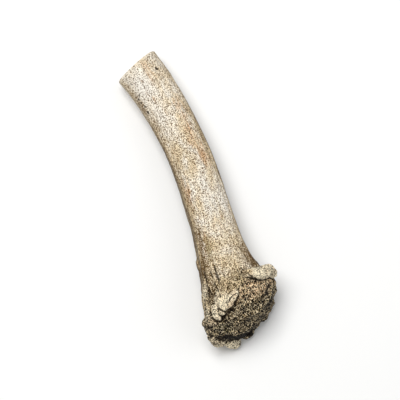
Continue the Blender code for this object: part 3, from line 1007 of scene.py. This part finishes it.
material = bpy.data.materials.new("weathered antler")
material.use_nodes = True
tree = material.node_tree
wire = Wire(tree)
wires = {name: wire.attribute(name) for name in kept}
places = {name: wire.attribute(name, "Vector") for name in ("grain", "place")}
for name, (where, lengths, detail, roughness) in NOISES.items():
    wires[name] = places[where].scaled(lengths).noise(detail, roughness)
soft, fine, dome, flank, pale = map(wires.get, ("soft", "fine", "dome", "flank", "pale"))
wires["rough"] = RIM_ROUGH * wires["near_rim"] + dome
off_rim = 1 - RIM_CLEAN * wires["near_rim"]
wires["beam_flank"] = flank * off_rim
wires["bare_edge"] = wires["edge"] * off_rim * (1 - LOBE_CLEAN * wires["lobe"]) * (1 - pale)
fine += DASH_SHARE * flank * (wires["dashes"] - fine)
cells = places["place"].scaled(CELL_LENGTHS).cells()
fleck = fine + (CELL_SHARE + ROUGH_CELL_SHARE * wires["rough"]) * (cells - fine)
fleck += VEIN_SHARE * dome * (wires["veins"].ramp(*VEIN_EDGE) - 0.5)
wires["fleck"] = fleck
print(len(wires), "masks and noises to mix")

# %% [markdown]
# Layers.
#
# Each layer has a colour and a mask. A mask could be painted, but a sum holds from every side. It
# adds kept numbers and noise, each times a share, and a ramp runs from the sum where the layer
# begins to show to the one where it is full. Since noise is part of it, no edge is clean. The
# layers are listed in the order in which they lie.

# %% List the layers
LAYERS = {
    # Colour, strength, ramp from and to, what the mask adds up.
    "weather": (
        (BLEACHED_AND_HIGHLIT, 1, 0.6, 1.3, {"bleach_and_highlight": 1, "soft": 1}),
        (LOW_BUFF, 1, 0.6, 1.3, {"low": 0.6, "fat": 1, "soft": 1}),
        (FLARE_BUFF, 1, 0.6, 1.4, {"near_rim": 0.9, "soft": 1}),
        # Browner flanks, partly soil and partly painted shade where the beam turns away.
        (FLANK_SOIL_AND_SHADE, 1, 0.6, 1.5, {"beam_flank": 1, "stripes": 1}),
    ),
    "stains": (
        (RUST, 1, 1.6, 2.6, {"rust": 1, "soft": 1, "stripes": 2}),
        (MOSS, 0.8, 0.65, 1.5, {"moss": 1, "soft": 1}),
        (SOIL, 0.4, 0.65, 1.5, {"soil": 1, "soft": 1}),
    ),
    # Darker edges, partly soil and partly painted shade where the bone turns away.
    "edges": ((EDGE_SOIL_AND_SHADE, 0.75, 0.8, 1.5, {"bare_edge": 1, "stripes": 0.4, "soft": 0.8}),),
    "mud_and_shadow": ((MUD_AND_SHADOW, 0.95, 0.95, 1.5, {"mud_and_shadow": 1, "fleck": 1.2, "soft": 0.4}),),
    "dirt_and_shade": ((DIRT_AND_SHADE, 0.9, 0.5, 1.3, {"hollow": 1, "seam": 0.9, "furrow": 0.25, "fleck": 0.6}),),
}


def weighed(shares):
    """A sum of wires, each times its share."""
    return sum(share * wires[name] for name, share in shares.items())


def lay_all(colour, kind):
    """The layers of one kind, one over the other."""
    for over, strength, low, high, shares in LAYERS[kind]:
        colour = (strength * weighed(shares).ramp(low, high)).blend(colour, over)
    return colour


print(sum(len(rows) for rows in LAYERS.values()), "layers of", len(LAYERS), "kinds")

# %% [markdown]
# The bone between its pores.
#
# The beam is cream and buff, the lobes are paler and the dome is browner. The lobes and the dome
# have two tones each, because one flat colour would look like plastic. The dome's tan tone lies on
# its upper side, partly as painted light, and its browner lower side is partly painted shade.
# Small pale glints stand between the granules where the bone is rough.

# %% Lay the colours of the bone
BUFF_EDGE, PINK_EDGE, TAN_EDGE = (0.35, 0.65), (0.45, 0.65), (1.1, 1.9)
LOBE_STRENGTH = 0.9
GLINT_SHARE, GLINT_EDGE = 0.9, (0.4, 0.28)

colour = lay_all(soft.ramp(*BUFF_EDGE).blend(CREAM, BUFF), "weather")
bare_lobes = LOBE_STRENGTH * (wires["lobe"] + pale).ramp(0, 1)
colour = bare_lobes.blend(colour, soft.ramp(*PINK_EDGE).blend(LOBE_CREAM, LOBE_PINK))
tan_and_lit = weighed({"tan_and_lit": 1, "soft": 2}).ramp(*TAN_EDGE)
colour = (dome * (1 - pale)).blend(colour, tan_and_lit.blend(DOME_BROWN, DOME_TAN_AND_LIT))
glints = GLINT_SHARE * wires["rough"] * fleck.ramp(*GLINT_EDGE)
colour = lay_all(glints.blend(lay_all(colour, "stains"), GLINT), "edges")
print("the material has", len(tree.nodes), "nodes so far")

# %% [markdown]
# Pores and pits.
#
# The dark grain is what makes it bone. It could be small dents, but they would need a mesh of
# millions of faces. The flecks have a middle value, and whatever lies above it is dark, so adding
# a little to them makes more pores. The flare, the dome and soiled places get more, the lobes and
# pale places fewer, and on the flanks they come in streaks. One ramp gives the brown pores, and a
# higher one the few pits that are nearly black.

# %% Scatter the pores and pits
COVER = {
    "stripes": 0.11, "near_rim": 0.075, "dome": 0.01, "soil": 0.1, "fat": 0.05, "rust": 0.02,
    "low": 0.01, "fine_hollow": 0.02, "flank": -0.155, "lobe": -0.11, "pale": -0.08,
    "bleach_and_highlight": -0.03,
}
# On the dome, more pores on its lower side and edges paint part of its shade.
DOME_COVER = {"edge": 0.02, "soft": 0.2, "tan_and_lit": -0.06}
STREAK_COVER, LOW_SHARPNESS = 0.35, 0.9
FLECK_MIDDLE, SPECK_MIDDLE = 0.58, 0.51
PORE_RAMP, PIT_RAMP = (0.45, 0.57), (0.57, 0.65)
PORE_SHARE, ROUGH_SHARE, ROUGH_RAMP = 0.8, 0.2, (0.0, 0.7)
PORES_OFF_LOBE, PIT_SHARE = 0.3, 0.5

cover = weighed(COVER) + dome * weighed(DOME_COVER)
cover += STREAK_COVER * flank * wires["streaks"]
sharper = 1 + LOW_SHARPNESS * wires["low"] * (1 - dome)
specks = SPECK_MIDDLE + sharper * (fleck + cover - FLECK_MIDDLE)
pore_share = PORE_SHARE + ROUGH_SHARE * wires["rough"].ramp(*ROUGH_RAMP)
pore_share *= 1 - PORES_OFF_LOBE * wires["lobe"]
darkness = pore_share * specks.ramp(*PORE_RAMP) + PIT_SHARE * specks.ramp(*PIT_RAMP)
deep = weighed({"rough": 1, "flank": 0.4}).ramp(0, 1)
colour = darkness.blend(colour, deep.blend(PORE_BROWN, PIT_DARK))
print("pores from", PORE_RAMP[0], "and pits from", PIT_RAMP[0])

# %% [markdown]
# All of the finish.
#
# The specks go over the bone's own colour, then mud and painted shadow, then the sawn face, and
# dirt with painted shade in every hollow comes last. The same flecks make the skin a little
# rougher and feed a weak bump, for grains that are smaller than the mesh's. The index of
# refraction is low, because chalky bone mirrors little.

# %% Finish the material
BUMP_STRENGTH, BUMP_DISTANCE = 0.7, 0.0005
BUMPS, DOME_BUMPS = {"stripes": 0.4, "fleck": -1}, 1.5
CHALKY_INDEX, PLAIN_ROUGHNESS = 1.25, 0.55
ROUGHER = {"fleck": 0.2, "dome": 0.1}
RING_EDGE = (0.3, 0.7)
HOLLOWS, FILLED_ON_DOME = {"fine_hollow": 0.35, "broad_hollow": 0.9}, 0.5

colour = lay_all(colour, "mud_and_shadow")
ring = soft.ramp(*RING_EDGE).blend(CREAM, BUFF)
# Pores on the sawn face are painted near black, as dirt and as the shade in them.
face = wires["pore"].blend(wires["sponge"].blend(ring, SPONGE), DIRT_AND_SHADE)
colour = wires["sawn"].blend(colour, face)
# Dirt and painted shade in every hollow, less on the dome.
wires["hollow"] = weighed(HOLLOWS) * (1 - FILLED_ON_DOME * dome)
colour = lay_all(colour, "dirt_and_shade")

roughness = PLAIN_ROUGHNESS + weighed(ROUGHER)
grains = weighed(BUMPS) * (1 + DOME_BUMPS * dome)
bump = grains.node("ShaderNodeBump", {}, {
    "Strength": BUMP_STRENGTH, "Distance": BUMP_DISTANCE, "Height": grains})
shader = tree.nodes["Principled BSDF"]
for name, value in (("Base Color", colour), ("Roughness", roughness), ("Normal", bump)):
    tree.links.new(value.socket, shader.inputs[name])
shader.inputs["IOR"].default_value = CHALKY_INDEX
bone.data.materials.append(material)
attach(bone, "root")
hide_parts("antler")
print("the material has", len(tree.nodes), "nodes")

# %% [markdown]
# The studio.
#
# The floor is plain and pale, and the light is soft. A big lamp stands at the upper left and draws
# the shapes. A weaker one from the other side keeps the shadows open, with a little light from all
# round. Small lamps would throw hard shadows of each lobe.

# %% Set the floor and the lights
FLOOR_SIZE = 6
FLOOR_LOOK = {"Base Color": (0.93, 0.93, 0.92, 1), "Roughness": 0.9}
AIM = Vector((0.0027, -0.0048, 0.01954))
LAMPS = (
    # Name, place, side, power.
    ("key", (-0.16, 0.3, 1.2), 0.7, 13),
    ("fill", (0.9, -0.5, 1), 1.2, 3),
)
SKY_LOOK = {"Color": (1, 1, 1, 1), "Strength": 0.31}


def set_inputs(node, values):
    """Sets a node's constants by name."""
    for name, value in values.items():
        node.inputs[name].default_value = value


for name, place, side, power in LAMPS:
    lamp = new_object(name, bpy.data.lights.new(name, "AREA"))
    lamp.data.size = side
    lamp.data.energy = power
    lamp.location = place
    lamp.rotation_euler = (Vector(place) - AIM).to_track_quat("Z", "Y").to_euler()

bpy.ops.mesh.primitive_plane_add(size=FLOOR_SIZE)
floor = bpy.context.object
floor.name = "floor"
matte = bpy.data.materials.new("pale floor")
matte.use_nodes = True
set_inputs(matte.node_tree.nodes["Principled BSDF"], FLOOR_LOOK)
floor.data.materials.append(matte)

sky = bpy.data.worlds.new("studio")
sky.use_nodes = True
set_inputs(sky.node_tree.nodes["Background"], SKY_LOOK)
bpy.context.scene.world = sky
bpy.context.scene.view_settings.view_transform = "Standard"
print(len(LAMPS), "lamps")

# %% [markdown]
# The camera.
#
# The antler lies down, so the camera looks down on it. It stands far off with a long lens, which
# keeps the near burr and the far sawn end at nearly the same scale, as in the photograph.

# %% Set the camera
LOOK_TURN, LOOK_RISE = math.radians(-23.3), math.radians(78)
LOOK_FAR = 1.1
LENS, SENSOR, SEES_TO = 150, 36, 10

back = Vector((math.sin(LOOK_TURN) * math.cos(LOOK_RISE),
               -math.cos(LOOK_TURN) * math.cos(LOOK_RISE),
               math.sin(LOOK_RISE)))
camera = new_object("camera", bpy.data.cameras.new("camera"))
camera.data.lens = LENS
camera.data.sensor_width = SENSOR
camera.data.clip_end = SEES_TO
camera.location = AIM + back * LOOK_FAR
camera.rotation_euler = (-back).to_track_quat("-Z", "Y").to_euler()
bpy.context.scene.camera = camera
print("the camera stands at", np.round(camera.location, 3))
